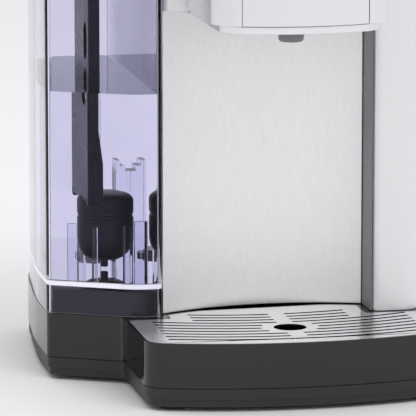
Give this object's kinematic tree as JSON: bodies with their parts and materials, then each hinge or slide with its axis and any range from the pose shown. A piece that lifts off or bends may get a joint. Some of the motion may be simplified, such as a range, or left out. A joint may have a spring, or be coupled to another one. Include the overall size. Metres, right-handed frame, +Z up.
{
  "type": "countertop water dispenser",
  "caption": "Countertop water dispenser with a slotted drip plate under a dispensing head and a clear lift-off tank with a filter at its side.",
  "frame": {"origin": "middle of the machine's footprint, at the height of the worktop under its feet", "axes": "+Z up, +Y towards the back of the machine, +X towards its right-hand side; the cup bay faces -Y"},
  "size_m": [0.2388, 0.2954, 0.3294],
  "materials": {
    "silver_plastic": "satin silver paint on moulded plastic",
    "brushed_steel": "vertical brushed stainless steel",
    "bright_chrome": "polished",
    "black_gloss": "gloss moulded",
    "black_matt": "fine matt moulded",
    "grey_plastic": "satin moulded",
    "navy_plastic": "satin moulded",
    "clear_plastic": "clear moulded, very slightly violet",
    "white_plastic": "moulded",
    "rubber": "moulded",
    "silicone": "translucent hose",
    "circuit_board": "green solder resist",
    "brass": "plated"
  },
  "bodies": {
    "base": {"base_shell": "black_gloss", "base_pan": "black_matt", "foot_front_left": "rubber", "foot_front_right": "rubber", "foot_rear_left": "rubber", "foot_rear_right": "rubber", "base_screw_front_left": "brushed_steel", "base_screw_front_right": "brushed_steel", "base_screw_rear_left": "brushed_steel", "base_screw_rear_right": "brushed_steel", "body_frame": "silver_plastic", "steel_panel": "brushed_steel", "bay_side_trim": "grey_plastic", "right_cover": "silver_plastic", "upper_housing": "silver_plastic", "rear_cover": "black_matt", "rear_screw_lower": "brushed_steel", "rear_screw_upper": "brushed_steel", "mains_inlet": "black_matt", "inlet_pin_line": "brass", "inlet_pin_neutral": "brass", "inlet_pin_earth": "brass", "switch_housing": "black_matt", "collar_ring": "bright_chrome", "underside_plate": "grey_plastic", "head_shell": "silver_plastic", "head_front_panel": "silver_plastic", "nozzle": "grey_plastic", "top_cover": "silver_plastic", "control_panel": "black_gloss", "status_lens": "white_plastic", "control_board": "circuit_board", "tank_socket": "black_matt", "pump": "black_matt", "boiler": "brushed_steel", "boiler_lid": "brushed_steel", "heating_element": "brushed_steel", "thermostat": "white_plastic", "power_board": "circuit_board", "suction_hose": "silicone", "feed_hose": "silicone", "outlet_hose": "silicone"},
    "tank": {"tank_shell": "clear_plastic", "lid_hinge_pin": "brushed_steel", "filter_holder": "navy_plastic", "filter_bowl": "navy_plastic", "filter_cartridge": "white_plastic", "tank_valve": "white_plastic", "valve_seal": "silicone", "valve_spring": "brushed_steel", "valve_cap": "white_plastic"},
    "tank_lid": {"tank_lid": "navy_plastic"},
    "valve_plunger": {"valve_plunger": "white_plastic"},
    "drip_tray": {"drip_tray": "black_matt"},
    "drip_plate": {"drip_plate": "bright_chrome"},
    "button_small": {"button_small": "grey_plastic"},
    "button_medium": {"button_medium": "grey_plastic"},
    "button_large": {"button_large": "grey_plastic"},
    "button_power": {"button_power": "grey_plastic"},
    "power_rocker": {"power_rocker": "black_gloss"}
  },
  "joints": [
    {"name": "tank_lift", "type": "slide", "parent": "base", "child": "tank", "axis": [0, 0, 1], "range_m": [0, 0.12]},
    {"name": "lid_hinge", "type": "hinge", "parent": "tank", "child": "tank_lid", "pos_m": [-0.0756, 0.1414, 0.299], "axis": [-1, 0, 0], "range_deg": [0, 100]},
    {"name": "valve_travel", "type": "slide", "parent": "tank", "child": "valve_plunger", "axis": [0, 0, 1], "range_m": [0, 0.003], "stiffness_N_per_m": 80, "deforming": ["valve_spring"]},
    {"name": "tray_lift", "type": "slide", "parent": "base", "child": "drip_tray", "axis": [0, 0, 1], "range_m": [0, 0.05]},
    {"name": "plate_lift", "type": "slide", "parent": "drip_tray", "child": "drip_plate", "axis": [0, 0, 1], "range_m": [0, 0.04]},
    {"name": "rocker_tip", "type": "hinge", "parent": "base", "child": "power_rocker", "pos_m": [0.03635, 0.1418, 0.104], "axis": [0, 0, 1], "range_deg": [-14, 0]},
    {"name": "button_small_press", "type": "slide", "parent": "base", "child": "button_small", "axis": [0, 0, -1], "range_m": [0, 0.0012], "stiffness_N_per_m": 500},
    {"name": "button_medium_press", "type": "slide", "parent": "base", "child": "button_medium", "axis": [0, 0, -1], "range_m": [0, 0.0012], "stiffness_N_per_m": 500},
    {"name": "button_large_press", "type": "slide", "parent": "base", "child": "button_large", "axis": [0, 0, -1], "range_m": [0, 0.0012], "stiffness_N_per_m": 500},
    {"name": "button_power_press", "type": "slide", "parent": "base", "child": "button_power", "axis": [0, 0, -1], "range_m": [0, 0.0012], "stiffness_N_per_m": 500}
  ]
}
